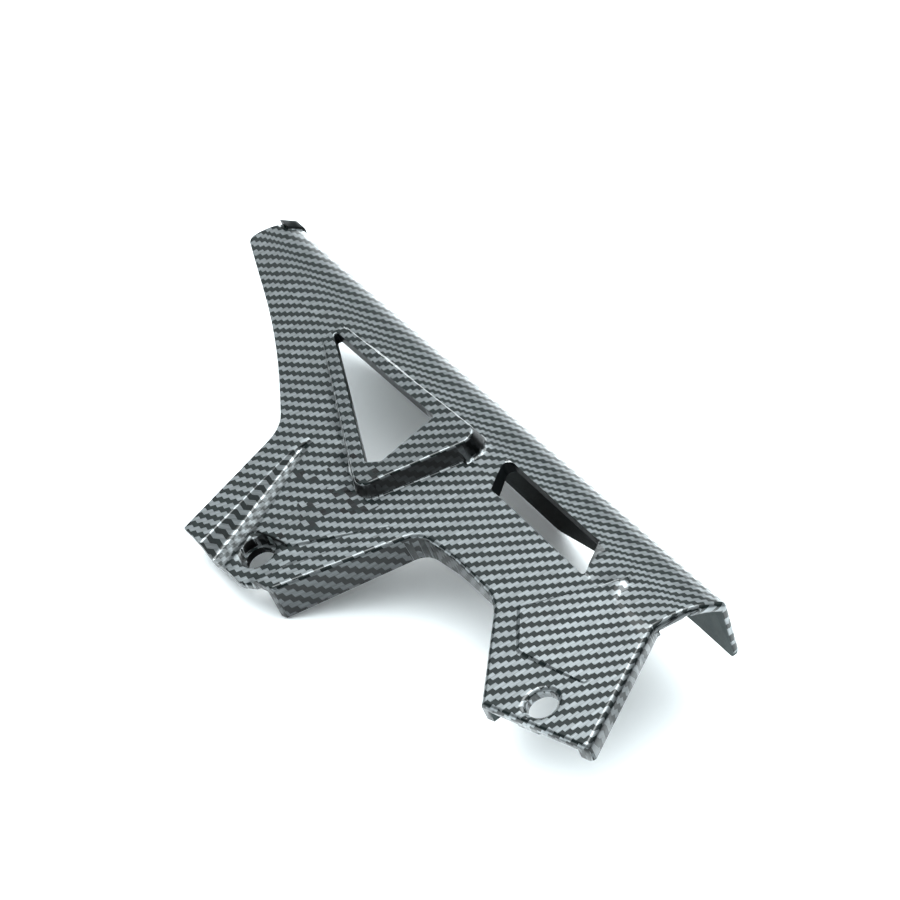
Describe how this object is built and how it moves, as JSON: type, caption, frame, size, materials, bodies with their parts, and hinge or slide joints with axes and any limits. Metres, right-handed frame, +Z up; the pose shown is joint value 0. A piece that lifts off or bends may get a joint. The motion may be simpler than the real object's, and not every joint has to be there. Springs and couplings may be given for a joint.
{
  "type": "motorcycle chain guard",
  "caption": "Moulded side-and-top shell that covers a motorcycle's upper chain run, with a triangular and a slanted window, two mounting tabs and a woven-carbon patterned gloss face.",
  "frame": {"origin": "centre of the bottom of the bounding box of the guard as it lies at rest", "axes": "+X along the crest from the front end to the rear end, +Z up, the side panel slopes down towards -Y"},
  "size_m": [0.3, 0.1152, 0.0491],
  "materials": {
    "guard_skin": "gloss clear coat over a twill weave pattern"
  },
  "bodies": {
    "root": {"chain_guard": "guard_skin"}
  },
  "joints": []
}
